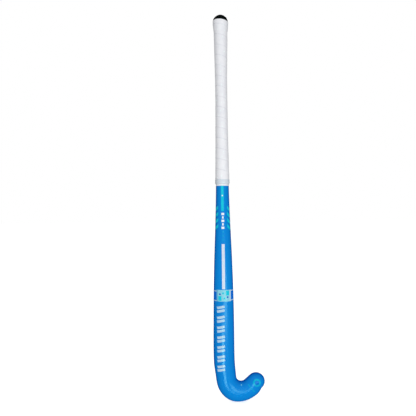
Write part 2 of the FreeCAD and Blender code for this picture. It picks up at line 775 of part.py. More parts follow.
def make_toe_marks():
    """The line, the ring with its filled middle, and the spot on the toe."""
    line = ("Sizes.toe_line_x", "Sizes.toe_line_height", "Sizes.toe_line_length", "Sizes.toe_line_width",
            "Sizes.toe_line_tilt")
    transfer("toe_line", [back_bar("toe_line_bar", *line)])
    middle = ("Sizes.toe_ring_x", "Sizes.toe_ring_height")
    outer_disc = back_disc("toe_ring_disc", *middle, "Sizes.toe_ring_radius")
    hole = back_disc("toe_ring_opening", *middle, "Sizes.toe_ring_hole")
    transfer("toe_ring", [cut("toe_ring_outline", outer_disc, hole)])
    transfer("toe_ring_centre", [back_disc("toe_ring_middle", *middle, "Sizes.toe_ring_hole - 0.02")])
    spot = ("Sizes.toe_spot_x", "Sizes.toe_spot_height", "Sizes.toe_spot_radius")
    transfer("toe_spot", [back_disc("toe_spot_disc", *spot)])


def check_document():
    """Stops before anything is written if a feature failed or a sub-part has no sound shape."""
    for feature in doc.Objects:
        if "Invalid" in feature.State or "Error" in feature.State:
            raise RuntimeError(f"{feature.Name} failed: {feature.State}")
    for feature in SUBPARTS:
        if feature.Shape.isNull() or not feature.Shape.isValid():
            raise RuntimeError(f"{feature.Label} has no valid shape")


def main():
    make_shell()
    make_tubes()
    make_head_inside()
    make_plug()
    cap = make_cap()
    wrap = make_wrap(cap)
    make_tape(wrap)
    make_ring()
    make_stripe()
    make_centre_marks()
    make_chevrons("left")
    make_chevrons("right")
    make_belt()
    make_blade_bars()
    make_toe_marks()
    doc.recompute()
    check_document()
    os.makedirs("parts", exist_ok=True)
    for feature in SUBPARTS:
        feature.Shape.exportStep(f"parts/{feature.Label}.step")
        print(f"{feature.Label}: {len(feature.Shape.Solids)} solids, {feature.Shape.Volume / 1000:.2f} cm3")


main()
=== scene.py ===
import json
import math
from collections import namedtuple

import bmesh
import bpy
import numpy as np
from mathutils import Matrix, Vector
from mathutils.bvhtree import BVHTree
from mathutils.interpolate import poly_3d_calc

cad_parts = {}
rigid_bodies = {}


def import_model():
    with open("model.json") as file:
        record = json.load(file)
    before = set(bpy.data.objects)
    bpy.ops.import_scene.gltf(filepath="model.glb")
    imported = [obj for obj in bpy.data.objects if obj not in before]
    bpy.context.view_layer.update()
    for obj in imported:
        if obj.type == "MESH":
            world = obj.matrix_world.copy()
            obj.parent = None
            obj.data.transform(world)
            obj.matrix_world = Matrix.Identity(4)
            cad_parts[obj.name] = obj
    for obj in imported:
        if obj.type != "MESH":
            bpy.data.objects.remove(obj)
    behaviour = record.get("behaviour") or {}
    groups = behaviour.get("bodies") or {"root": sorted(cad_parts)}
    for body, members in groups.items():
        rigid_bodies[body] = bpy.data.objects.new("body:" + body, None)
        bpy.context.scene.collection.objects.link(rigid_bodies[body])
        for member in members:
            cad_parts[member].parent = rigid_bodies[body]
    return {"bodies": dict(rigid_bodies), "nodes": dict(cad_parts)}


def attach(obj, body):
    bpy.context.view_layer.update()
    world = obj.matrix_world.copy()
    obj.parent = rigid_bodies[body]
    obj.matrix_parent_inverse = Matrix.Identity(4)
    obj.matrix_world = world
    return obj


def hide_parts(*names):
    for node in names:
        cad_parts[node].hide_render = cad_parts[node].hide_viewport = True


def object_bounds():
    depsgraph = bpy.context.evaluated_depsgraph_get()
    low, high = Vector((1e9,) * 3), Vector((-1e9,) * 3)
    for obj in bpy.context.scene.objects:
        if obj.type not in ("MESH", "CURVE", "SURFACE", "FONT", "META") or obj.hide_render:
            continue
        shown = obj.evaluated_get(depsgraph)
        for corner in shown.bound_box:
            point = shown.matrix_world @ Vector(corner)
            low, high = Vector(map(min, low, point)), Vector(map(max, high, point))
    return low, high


# A field hockey stick. Lengths below are millimetres in the stick's own drawing frame (striking face
# in the plane y = 0, back towards -Y, heights from the lowest point of the head); placed() turns them
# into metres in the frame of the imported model.

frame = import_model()
cad_box = [list(corner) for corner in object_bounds()]
ROOT = next(iter(frame["bodies"]))

# ---------------------------------------------------------------------------- driving sizes

THROAT_HEIGHT = 62.5
THROAT_SHIFT = 4.3
BLADE_RUN = 57.5
BOW_RADIUS = 2300.0
BOW_ANGLE = math.radians(7.5)
HANDLE_RUN = 494.0
HANDLE_TAPER = 250.0
FLARE_LENGTH = 130.0
HANDLE = np.array((25.8, 27.4, 11.6))  # width, depth, corner radius
FLARE = np.array((30.6, 30.4, 13.4))
BLADE = np.array((49.8, 21.5, 5.0))
CROOK_RADIUS = 11.7
THROAT_WIDTH = 48.6
HEEL_WIDTH = 52.7
TOE_ROOT_WIDTH = 46.8
TOE_WIDTH = 42.6
TOE_DEPTH = 20.0
HOOK_TURN = math.radians(130)
TOE_RUN = 18.9
TOE_LIFT = 3.0
WALL = 2.2

GRIP_LENGTH = 377.5
TAPE_WIDTH = 11.4
TAPE_OVERLAP = 8.0
RING_WIDTH = 3.4
SKIRT_THICKNESS = 1.6
SKIRT_EDGE = 0.5
SKIRT_PLAIN = 15.0  # the rubber sleeve keeps its thickness down to here
SKIRT_LENGTH = 30.0
LIP_THICKNESS = 2.65
LIP_DROP = 7.0
DOME_RISE = 15.0
TAPE_TOP = LIP_DROP + GRIP_LENGTH  # distances below the shell's end
TAPE_FOOT = TAPE_TOP + TAPE_WIDTH

CHORD_LEAN = math.radians(5.3)
ORIGIN_DROP = 100.0
MM = 0.001

# ---------------------------------------------------------------------------- centreline

Station = namedtuple("Station", "x y z lean turn width depth corner")
BOW_FOOT = THROAT_HEIGHT + BLADE_RUN
HOOK_X = THROAT_SHIFT + THROAT_WIDTH / 2 + CROOK_RADIUS


def handle_station(distance, sizes):
    """A section of the straight handle at a distance above the bow."""
    y = BOW_RADIUS * (1 - math.cos(BOW_ANGLE)) + distance * math.sin(BOW_ANGLE)
    z = BOW_FOOT + BOW_RADIUS * math.sin(BOW_ANGLE) + distance * math.cos(BOW_ANGLE)
    return Station(0, y, z, BOW_ANGLE, 0, *sizes)


def bow_station(share, widening):
    """A section of the bow, at a share of its turn."""
    angle = share * BOW_ANGLE
    sizes = HANDLE + widening * (BLADE - HANDLE)
    return Station(
        0, BOW_RADIUS * (1 - math.cos(angle)), BOW_FOOT + BOW_RADIUS * math.sin(angle), angle, 0, *sizes
    )


def hook_station(share, width, thinning):
    """A section of the hook, at a share of its turn."""
    turn = share * HOOK_TURN
    reach = CROOK_RADIUS + width / 2
    depth = BLADE[1] + thinning * (TOE_DEPTH - BLADE[1])
    x = HOOK_X - reach * math.cos(turn)
    return Station(x, 0, THROAT_HEIGHT - reach * math.sin(turn), 0, turn, width, depth, BLADE[2])


def toe_station():
    """The last section, where the rounded toe starts."""
    reach = CROOK_RADIUS + TOE_ROOT_WIDTH / 2 - TOE_LIFT
    x = HOOK_X - reach * math.cos(HOOK_TURN) + TOE_RUN * math.sin(HOOK_TURN)
    z = THROAT_HEIGHT - reach * math.sin(HOOK_TURN) - TOE_RUN * math.cos(HOOK_TURN)
    return Station(x, 0, z, 0, HOOK_TURN, TOE_WIDTH, TOE_DEPTH, BLADE[2])


def stations():
    """The stick's cross-sections from the handle end to the toe."""
    result = [
        handle_station(HANDLE_RUN - share * FLARE_LENGTH, HANDLE + widening * (FLARE - HANDLE))
        for share, widening in ((0, 1), (0.23, 0.79), (0.46, 0.54), (0.77, 0.26), (1, 0))
    ]
    result += [
        handle_station(share * HANDLE_TAPER, HANDLE + widening * (BLADE - HANDLE))
        for share, widening in (
            (1, 0), (0.8, 0.042), (0.56, 0.117), (0.32, 0.208), (0.16, 0.296), (0, 0.42),
        )
    ]
    result += [bow_station(*pair) for pair in ((0.8, 0.62), (0.6, 0.8), (0.4, 0.905), (0.2, 0.968), (0, 1))]
    result.append(Station(THROAT_SHIFT / 4, 0, THROAT_HEIGHT + BLADE_RUN / 2, 0, 0, *BLADE))
    to_heel = HEEL_WIDTH - THROAT_WIDTH
    to_toe = TOE_ROOT_WIDTH - HEEL_WIDTH
    result += [
        hook_station(0, THROAT_WIDTH, 0),
        hook_station(0.17, THROAT_WIDTH + 0.12 * to_heel, 0),
        hook_station(0.34, THROAT_WIDTH + 0.66 * to_heel, 0.1),
        hook_station(0.52, HEEL_WIDTH, 0.2),
        hook_station(0.70, HEEL_WIDTH + 0.42 * to_toe, 0.4),
        hook_station(0.86, HEEL_WIDTH + 0.82 * to_toe, 0.6),
        hook_station(1, TOE_ROOT_WIDTH, 0.8),
        toe_station(),
    ]
    return result


# ---------------------------------------------------------------------------- placing


def assembly():
    """From the drawing frame, in millimetres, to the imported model's frame, in metres."""
    origin = handle_station(HANDLE_RUN - ORIGIN_DROP, HANDLE)
    axis = HANDLE[1] / 2
    y = origin.y - axis * math.cos(BOW_ANGLE)
    z = origin.z + axis * math.sin(BOW_ANGLE)
    return Matrix.Scale(MM, 4) @ Matrix.Rotation(CHORD_LEAN, 4, "X") @ Matrix.Translation((0, -y, -z))


ASSEMBLY = assembly()
ASSEMBLY_ARRAY = np.array(ASSEMBLY)


def placed(points):
    """Drawing-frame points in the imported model's frame."""
    points = np.asarray(points, float)
    return points @ ASSEMBLY_ARRAY[:3, :3].T + ASSEMBLY_ARRAY[:3, 3]


# Points round a section start at the middle of the face and run towards the toe side.
FACE_STEPS, CORNER_STEPS, BACK_STEPS = 8, 9, 27
RING = 2 * (FACE_STEPS + CORNER_STEPS + BACK_STEPS)


def profile(width, depth, corner):
    """The closed D profile in its own plane; y is 0 on the face and negative towards the back."""
    half, bulge = width / 2, depth - corner
    points = [(share * (half - corner), 0) for share in np.linspace(0, 1, FACE_STEPS + 1)]
    for angle in np.linspace(math.pi / 2, 0, CORNER_STEPS + 1)[1:]:
        points.append((half - corner + corner * math.cos(angle), corner * (math.sin(angle) - 1)))
    for angle in np.linspace(0, math.pi / 2, BACK_STEPS + 1)[1:]:
        points.append((half * math.cos(angle), -corner - bulge * math.sin(angle)))
    mirrored = [(-x, y) for x, y in points[-2:0:-1]]
    return np.array(points + mirrored)


def section_frame(station):
    """Origin, across direction and depth direction of a section's plane."""
    origin = np.array((station.x, station.y, station.z))
    across = np.array((math.cos(station.turn), 0, math.sin(station.turn)))
    deep = np.array((0, math.cos(station.lean), -math.sin(station.lean)))
    return origin, across, deep


def ring(station, outward=0.0):
    """The section's points in the drawing frame, pushed outward (inward below zero) by one or many amounts."""
    outward = np.broadcast_to(outward, RING)
    flat = profile(station.width, station.depth, station.corner)
    normal = profile_normals(station.width, station.depth, station.corner)
    flat = flat + normal * outward[:, None]
    origin, across, deep = section_frame(station)
    return origin + flat[:, :1] * across + flat[:, 1:] * deep


def profile_normals(width, depth, corner):
    """Outward directions at the profile's points, in its own plane."""
    half, bulge = width / 2, depth - corner
    normals = [(0, 1)] * (FACE_STEPS + 1)
    normals += [(math.cos(a), math.sin(a)) for a in np.linspace(math.pi / 2, 0, CORNER_STEPS + 1)[1:]]
    for angle in np.linspace(0, math.pi / 2, BACK_STEPS + 1)[1:]:
        x, y = bulge * math.cos(angle), -half * math.sin(angle)
        size = math.hypot(x, y)
        normals.append((x / size, y / size))
    mirrored = [(-x, y) for x, y in normals[-2:0:-1]]
    return np.array(normals + mirrored)


class Loft:
    """Smooth curves through the matching points of every cross-section, by distance along the stick."""

    def __init__(self, outward=0.0):
        rows = stations()
        self.values = np.array([ring(station, outward) for station in rows])
        places = np.array([(row.x, row.y, row.z) for row in rows])
        steps = np.linalg.norm(np.diff(places, axis=0), axis=1)
        self.at = np.concatenate(([0], np.cumsum(steps)))
        count = len(rows)
        matrix = np.eye(count)
        right = np.zeros((count, RING * 3))
        for i in range(1, count - 1):
            before, after = steps[i - 1], steps[i]
            matrix[i, i - 1 : i + 2] = before, 2 * (before + after), after
            slopes = [(self.values[j + 1] - self.values[j]) / steps[j] for j in (i - 1, i)]
            right[i] = 6 * (slopes[1] - slopes[0]).ravel()
        self.bend = np.linalg.solve(matrix, right).reshape(count, RING, 3)

    def __call__(self, distance):
        i = int(np.clip(np.searchsorted(self.at, distance) - 1, 0, len(self.at) - 2))
        step = self.at[i + 1] - self.at[i]
        b = (distance - self.at[i]) / step
        a = 1 - b
        bent = ((a**3 - a) * self.bend[i] + (b**3 - b) * self.bend[i + 1]) * step**2 / 6
        return a * self.values[i] + b * self.values[i + 1] + bent


STICK = Loft()
STICK_LENGTH = STICK.at[-1]
TOE = stations()[-1]

# ---------------------------------------------------------------------------- mesh helpers


def new_piece(name, points, faces, material, node, normals=None, values=None):
    """A mesh piece from drawing-frame points, which rides on the stick in the place of a CAD node."""
    mesh = bpy.data.meshes.new(name)
    mesh.from_pydata([tuple(p) for p in placed(points)], [], [tuple(f) for f in faces])
    mesh.validate()
    for label, column in (values or {}).items():
        attribute = mesh.attributes.new(label, "FLOAT", "POINT")
        attribute.data.foreach_set("value", np.asarray(column, float))
    if normals is not None:
        turned = np.asarray(normals) @ (ASSEMBLY_ARRAY[:3, :3] / MM).T
        mesh.normals_split_custom_set_from_vertices([tuple(n) for n in turned])
    else:
        mesh.polygons.foreach_set("use_smooth", [True] * len(mesh.polygons))
    piece = bpy.data.objects.new(name, mesh)
    bpy.context.scene.collection.objects.link(piece)
    mesh.materials.append(material)
    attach(piece, ROOT)
    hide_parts(node)
    return piece


def tube_faces(rows, columns, start=0):
    """Quads between successive closed rings of a grid of points."""
    faces = []
    for row in range(rows - 1):
        a = start + row * columns
        b = a + columns
        for column in range(columns):
            after = (column + 1) % columns
            faces.append((a + column, a + after, b + after, b + column))
    return faces


def closed_bands(name, bands, material, node):
    """A piece of separate ring shapes, each of successive rings of points joined last to first."""
    points, faces = [], []
    for rings in bands:
        start, columns = len(points), len(rings[0])
        last = start + (len(rings) - 1) * columns
        faces += tube_faces(len(rings), columns, start)
        for i in range(columns):
            after = (i + 1) % columns
            faces.append((last + i, last + after, start + after, start + i))
        points += list(np.concatenate(rings))
    new_piece(name, np.array(points), faces, material, node)


def smooth_step(share):
    """An even blend from 0 to 1 that starts and ends flat."""
    share = np.clip(share, 0, 1)
    return share * share * (3 - 2 * share)


# ---------------------------------------------------------------------------- the laminate shell

TOE_STEPS = 44
OUTER_SPACING = 2.0
INNER_SPACING = 8.0
BACKWARD = -profile_normals(*BLADE)[:, 1]  # 1 in the middle of the back, -1 on the face


def toe_rows(outward):
    """Half rings that carry the last section round the end of the toe."""
    origin, across, deep = section_frame(TOE)
    onward = np.array((math.sin(TOE.turn), 0, -math.cos(TOE.turn)))
    offset = ring(TOE, outward)[: RING // 2 + 1] - origin
    side, depth = (offset @ across)[:, None], (offset @ deep)[:, None]
    angles = np.linspace(0, math.pi, TOE_STEPS + 1)[1:-1]
    return [origin + side * (math.cos(a) * across + math.sin(a) * onward) + depth * deep for a in angles]


def stick_surface(outward=0.0, spacing=OUTER_SPACING):
    """Points and faces of the whole stick's surface, open at the handle end, and each point's column."""
    rows = int(STICK_LENGTH / spacing)
    loft = Loft(outward)
    points = [loft(distance) for distance in np.linspace(0, STICK_LENGTH, rows + 1)]
    columns = list(range(RING)) * (rows + 1)
    faces = tube_faces(rows + 1, RING)
    last, half = rows * RING, RING // 2
    edge = [last + i for i in range(half + 1)]
    strips = [edge]
    for row in toe_rows(outward):
        start = len(columns)
        points.append(row[1:-1])
        columns += range(1, half)
        strips.append([edge[0]] + list(range(start, start + half - 1)) + [edge[-1]])
    strips.append([last + (RING - i) % RING for i in range(half + 1)])
    for before, after in zip(strips, strips[1:]):
        for i in range(half):
            faces.append(tuple(dict.fromkeys((before[i], before[i + 1], after[i + 1], after[i]))))
    return np.concatenate(points), faces, columns


def vertex_normals(points, faces):
    """Outward normals of a surface's points, from the faces round each."""
    normals = np.zeros_like(points)
    for face in faces:
        a, b, c = points[face[0]], points[face[1]], points[face[2]]
        d = points[face[3]] if len(face) == 4 else a
        normals[list(face)] += np.cross(c - a, d - b) if len(face) == 4 else np.cross(b - a, c - a)
    return normals / np.linalg.norm(normals, axis=1)[:, None]


SKIN_POINTS, SKIN_FACES, SKIN_COLUMNS = stick_surface()
SKIN_NORMALS = vertex_normals(SKIN_POINTS, SKIN_FACES)
if SKIN_NORMALS[RING // 2][1] > 0:
    SKIN_NORMALS = -SKIN_NORMALS
SKIN = BVHTree.FromPolygons([tuple(p) for p in SKIN_POINTS], SKIN_FACES)


def shell_piece(material):
    """The laminate: outer skin, inner skin and the rim between them at the open end."""
    inner_points, inner_faces, inner_columns = stick_surface(-WALL, INNER_SPACING)
    start = len(SKIN_POINTS)
    faces = [tuple(reversed(face)) for face in SKIN_FACES]
    faces += [tuple(start + i for i in face) for face in inner_faces]
    faces += [((i + 1) % RING, i, start + i, start + (i + 1) % RING) for i in range(RING)]
    points = np.concatenate((SKIN_POINTS, inner_points))
    backward = BACKWARD[SKIN_COLUMNS + inner_columns]
    new_piece(
        "painted_shell", points, faces, material, "outer_shell", values={"backward": backward}
    )


# ---------------------------------------------------------------------------- transfers

FILM = 0.12  # the outside of a print stands this far above the laminate
FILM_ROOT = -0.05
FIELD_FILM_HEIGHT = 0.08
PANEL_LIFT = 0.1
INLAY_LIFT = 0.18
GRID = 1.6
BELT_SPACING = 1.5
SIDE_MARGIN = 0.985  # share of the half width that a print may reach
BEHIND = -80  # every part of the back lies in front of this depth


def bar(x, z, width, tall, tilt=0.0):
    """Corners of a bar about its middle; a positive tilt lowers its right end."""
    c, s = math.cos(math.radians(tilt)), math.sin(math.radians(tilt))
    corners = ((-1, -1), (1, -1), (1, 1), (-1, 1))
    halves = [(a * width / 2, b * tall / 2) for a, b in corners]
    return [[(x + dx * c + dz * s, z - dx * s + dz * c) for dx, dz in halves]]


def slant(x, z, reach, tall, fall):
    """Corners of a bar with upright ends that starts at x and falls away sideways at an angle."""
    far = z - abs(reach) * math.tan(math.radians(fall))
    low, high = -tall / 2, tall / 2
    return [[(x, z + low), (x + reach, far + low), (x + reach, far + high), (x, z + high)]]


def disc(x, z, radius, steps=32):
    """Corners of a round about its middle."""
    angles = [2 * math.pi * i / steps for i in range(steps)]
    return [[(x + radius * math.cos(a), z + radius * math.sin(a)) for a in angles]]


def flat_mesh(shapes):
    """Shapes drawn as outlines with holes, filled and cut into cells small enough to follow a curve."""
    flat = bmesh.new()
    for loops in shapes:
        edges = []
        for loop in loops:
            verts = [flat.verts.new((x, z, 0)) for x, z in loop]
            edges += [flat.edges.new((a, b)) for a, b in zip(verts, verts[1:] + verts[:1])]
        bmesh.ops.triangle_fill(flat, edges=edges, use_beauty=True, use_dissolve=False, normal=(0, 0, 1))
    spread = [np.array([v.co[axis] for v in flat.verts]) for axis in (0, 1)]
    for axis, normal in ((0, (1, 0, 0)), (1, (0, 1, 0))):
        for at in np.arange(spread[axis].min() + GRID, spread[axis].max(), GRID):
            everything = flat.verts[:] + flat.edges[:] + flat.faces[:]
            place = [0, 0, 0]
            place[axis] = at
            bmesh.ops.bisect_plane(flat, geom=everything, dist=1e-5, plane_co=place, plane_no=normal)
    return flat


def on_skin(x, z):
    """The place and smooth normal on the back of the stick straight behind a point of the drawing."""
    place, _, index, _ = SKIN.ray_cast(Vector((x, BEHIND, z)), Vector((0, 1, 0)))
    if place is None:
        raise ValueError(f"nothing lies behind the drawing at {x:.1f}, {z:.1f}")
    corners = list(SKIN_FACES[index])
    weights = np.array(poly_3d_calc([Vector(SKIN_POINTS[i]) for i in corners], place))
    normal = weights @ SKIN_NORMALS[corners]
    return np.array(place), normal / np.linalg.norm(normal)


def side_limit(z):
    """How far to the side the back still faces backwards, on the straight part of the stick."""
    share = (z - BOW_FOOT) / math.cos(BOW_ANGLE)
    return SIDE_MARGIN * STICK(LENGTH_TO_BLADE - share)[:, 0].max()


LENGTH_TO_BLADE = HANDLE_RUN + BOW_RADIUS * BOW_ANGLE


def transfer(node, shapes, material, lift=0.0, to_side=False, suffix="print"):
    """Printed film on the back, from outlines drawn square on to the striking face."""
    flat = flat_mesh(shapes)
    if to_side:
        for vert in flat.verts:
            limit = side_limit(vert.co.y)
            vert.co.x = max(-limit, min(limit, vert.co.x))
        bmesh.ops.remove_doubles(flat, verts=flat.verts, dist=1e-3)
        bmesh.ops.dissolve_degenerate(flat, edges=flat.edges, dist=1e-3)
    flat.verts.ensure_lookup_table()
    flat.verts.index_update()
    found = [on_skin(v.co.x, v.co.y) for v in flat.verts]
    places = np.array([place for place, _ in found])
    normals = np.array([normal for _, normal in found])
    count = len(places)
    points = np.concatenate((places + (FILM + lift) * normals, places + (FILM_ROOT + lift) * normals))
    faces = []
    for face in flat.faces:
        loop = [v.index for v in face.verts]
        a, b, c = (places[i] for i in loop[:3])
        if np.cross(b - a, c - a) @ normals[loop[0]] < 0:
            loop.reverse()
        faces += [tuple(loop), tuple(count + i for i in reversed(loop))]
        for i, j in zip(loop, loop[1:] + loop[:1]):
            edge = flat.edges.get((flat.verts[i], flat.verts[j]))
            if edge.is_boundary:
                faces.append((j, i, count + i, count + j))
    flat.free()
    both = np.concatenate((normals, normals))
    new_piece(f"{node}_{suffix}", points, faces, material, node, normals=both)


BELT_TOP, BELT_FOOT = 272.5, 250.0  # middles of the two lines, where the shaft's middle plane meets them
BELT_LINE = 2.0
BELT_TILT = math.radians(2.2)
BELT_LEAN = math.asin(((BELT_TOP + BELT_FOOT) / 2 - BOW_FOOT) / BOW_RADIUS)


def belt_ring(height, outward):
    """Points all round the stick where the tilted plane of the belt cuts it."""
    distances = np.linspace(HANDLE_RUN, LENGTH_TO_BLADE, 161)
    loft = Loft(outward)
    stack = np.array([loft(distance) for distance in distances])
    slope = stack[:, :, 0] * math.tan(BELT_TILT) - stack[:, :, 1] * math.tan(BELT_LEAN)
    rise = stack[:, :, 2] - height - slope
    points = []
    for column in range(RING):
        at = np.interp(0, -rise[:, column], np.arange(len(distances)))
        low = min(int(at), len(distances) - 2)
        share = at - low
        points.append((1 - share) * stack[low, column] + share * stack[low + 1, column])
    return np.array(points)


def belt_band(top, bottom, outward):
    """Rings of points over a band round the shaft and back under it."""
    rows = max(2, int((top - bottom) / BELT_SPACING))
    rings = [belt_ring(height, outward) for height in np.linspace(top, bottom, rows + 1)]
    return rings + [belt_ring(height, FILM_ROOT) for height in (bottom, top)]


# ---------------------------------------------------------------------------- the handle's soft pieces

HANDLE_ROWS = 401
PROUD = Loft(1.0)
HANDLE_POINTS = np.array([STICK(float(v)) for v in range(HANDLE_ROWS)])
HANDLE_NORMALS = np.array([PROUD(float(v)) - HANDLE_POINTS[v] for v in range(HANDLE_ROWS)])
AXIS = np.array((0, math.sin(BOW_ANGLE), math.cos(BOW_ANGLE)))
MIDDLE = STICK(0.0).mean(0)
GIRTH_ROW = HANDLE_POINTS[200]
STEP_LENGTHS = np.linalg.norm(np.diff(GIRTH_ROW, axis=0, append=GIRTH_ROW[:1]), axis=1)
ARC = np.concatenate(([0], np.cumsum(STEP_LENGTHS))) / STEP_LENGTHS.sum()  # share of a turn at each column


def on_handle(column, drop, outward):
    """Points at drops below the handle's end and heights above its surface, all in one column."""
    drop = np.asarray(drop, float)
    low = np.clip(drop.astype(int), 0, HANDLE_ROWS - 2)
    share = (drop - low)[..., None]
    points = (1 - share) * HANDLE_POINTS[low, column] + share * HANDLE_POINTS[low + 1, column]
    normal = HANDLE_NORMALS[low, column]
    return points + normal * np.asarray(outward)[..., None]


LIP_EXTRA = 0.6
LIP_SLANT = 2.0


def lip_drop(column):
    """How far down the cap's lip meets the wrap: a little lower on the toe side."""
    return LIP_DROP + LIP_EXTRA + LIP_SLANT * HANDLE_POINTS[0, column][..., 0] / (FLARE[0] / 2)


def sleeve_height(drop):
    """The thickness of the cap's rubber sleeve."""
    ends = (SKIRT_PLAIN, SKIRT_LENGTH, SKIRT_LENGTH + 1.5)
    return np.interp(drop, ends, (SKIRT_THICKNESS, SKIRT_EDGE, 0.0))


DOME_POWER = 2 / 1.8  # a slightly squared dome
DOME_STEPS = 26
LIP_ROUND = 0.25
CAP_CLEARANCE = 0.03


def cap_piece(material):
    """The rubber cap: a dome with a lip, and a sleeve over the handle end."""
    columns = np.arange(RING)
    lip = lip_drop(columns)
    end = ring(stations()[0], LIP_THICKNESS)
    rings = []
    for angle in np.linspace(math.radians(88.5), 0, DOME_STEPS):
        rise = math.sin(angle) ** DOME_POWER
        share = math.cos(angle) ** DOME_POWER
        drop = (1 - rise) * lip + rise * (LIP_DROP - DOME_RISE)
        rings.append(MIDDLE + share * (end - MIDDLE) - drop[:, None] * AXIS)
    for outward, extra in ((LIP_THICKNESS - LIP_ROUND, LIP_ROUND), (SKIRT_THICKNESS, LIP_ROUND + 0.05)):
        rings.append(np.array([on_handle(k, lip[k] + extra, outward) for k in columns]))
    for drop in (9, 12, SKIRT_PLAIN, 20, 25, SKIRT_LENGTH):
        height = float(sleeve_height(drop))
        rings.append(np.array([on_handle(k, max(drop, lip[k] + 0.5), height) for k in columns]))
    for drop in (SKIRT_LENGTH, SKIRT_PLAIN, 0):
        rings.append(np.array([on_handle(k, drop, CAP_CLEARANCE) for k in columns]))
    rings.append(MIDDLE + 0.5 * (rings[-1] - MIDDLE))
    points = np.concatenate(rings)
    faces = tube_faces(len(rings), RING)
    top, bottom = len(points), len(points) + 1
    points = np.vstack((points, MIDDLE - (LIP_DROP - DOME_RISE) * AXIS, MIDDLE))
    start = (len(rings) - 1) * RING
    faces += [(top, (i + 1) % RING, i) for i in range(RING)]
    faces += [(bottom, start + i, start + (i + 1) % RING) for i in range(RING)]
    faces = [tuple(reversed(face)) for face in faces]
    new_piece("rubber_cap", points, faces, material, "end_cap")


STRIP_WIDTH = 27.5
STRIP_PITCH = 24.5
STRIP_THICKNESS = 1.55
STRIP_FIRST = -18.0  # drop of the strip's upper edge where it starts, on the middle of the face
STRIP_END = TAPE_TOP + TAPE_OVERLAP
STRIP_LIFT = 0.03  # between a strip and what it lies on
UPPER_SKIVE, UPPER_SHARE = 4.0, 0.45  # width of the thinned edge, and the share of the thickness left at it
LOWER_SKIVE, LOWER_SHARE = 5.0, 0.25
CUT_ROUND, SKIVE_ROUND, LOWER_ROUND = 1.3, 0.5, 0.4
FLATTEST = 0.03
NARROWEST = 0.8
TAIL = 1.5  # a strip comes down over this width where the one under it ends


def rounded_edge(distance, radius):
    """A quarter round's height at distances from its edge, as a share, squared."""
    return np.clip(1 - (1 - np.clip(distance / radius, 0, 1)) ** 2, FLATTEST, 1)


def strip_thickness(across, first, last):
    """The strip's thickness at places across it: skived at both edges, full and rounded at a cut end."""
    upper = UPPER_SHARE + (1 - UPPER_SHARE) * smooth_step(across / UPPER_SKIVE)
    lower = LOWER_SHARE + (1 - LOWER_SHARE) * smooth_step((STRIP_WIDTH - across) / LOWER_SKIVE)
    edge = np.sqrt(rounded_edge(across - first, CUT_ROUND if first > 0 else SKIVE_ROUND))
    edge = np.minimum(edge, np.sqrt(rounded_edge(last - across, LOWER_ROUND)))
    return STRIP_THICKNESS * np.minimum(upper, lower) * edge


def strip_base(across, first):
    """The height that the turn above gives a strip at places across it."""
    overlap = STRIP_WIDTH - STRIP_PITCH
    above_first = max(0.0, first + STRIP_PITCH)
    if above_first > STRIP_WIDTH - NARROWEST:
        return np.zeros_like(across)
    reached = np.minimum(across + STRIP_PITCH, STRIP_WIDTH - LOWER_ROUND)
    return strip_thickness(reached, above_first, STRIP_WIDTH) * (1 - smooth_step((across - overlap) / TAIL))


def wound_faces(rows, size):
    """Faces of a wound strip: quads between its cross-sections, and its two closed ends."""
    faces = []
    for row in range(rows - 1):
        a, b = row * size, (row + 1) * size
        faces += [(a + i, a + (i + 1) % size, b + (i + 1) % size, b + i) for i in range(size)]
    end = (rows - 1) * size
    for i in range(size // 2 - 1):
        faces.append((i + 1, i, size - 1 - i, size - 2 - i))
        faces.append((end + i, end + i + 1, end + size - 2 - i, end + size - 1 - i))
    return faces


def wrap_piece(material):
    """The grip: one long strip wound down the handle from the cap, each turn over the last one's edge."""
    shares = (1 - np.cos(np.linspace(0, math.pi, 24))) / 2
    rows, flat_length, across_values = [], 0.0, []
    step = 0
    while True:
        column = (RING - step % RING) % RING
        turn = step // RING + (1 - ARC[column] if column else 0)
        edge = STRIP_FIRST + STRIP_PITCH * turn
        cut = float(lip_drop(column)) - edge
        first, last = max(0.0, cut), min(STRIP_WIDTH, STRIP_END - edge)
        step += 1
        if last - first < NARROWEST:
            if first > 0:
                continue
            break
        across = first + shares * (last - first)
        drop = edge + across
        base = sleeve_height(drop) + strip_base(across, cut)
        swell = 1 + 0.05 * math.sin(2.9 * turn) + 0.04 * math.sin(7.3 * turn + 1)  # uneven winding
        height = base + strip_thickness(across, first, last) * swell
        top = on_handle(column, drop, height)
        bottom = on_handle(column, drop, base + STRIP_LIFT)
        rows.append(np.concatenate((top, bottom[::-1])))
        across_values.append(np.concatenate((across, across[::-1])) / STRIP_WIDTH)
        flat_length += STEP_LENGTHS[column - 1]
    piece = new_piece(
        "grip_strip", np.concatenate(rows), wound_faces(len(rows), 2 * len(shares)), material,
        "grip_wrap", values={"across": np.concatenate(across_values)},
    )


TAPE_TURNS = 1.12
TAPE_LAYER = 0.25
TAPE_START = RING // 2 - 14  # the column where the tape starts


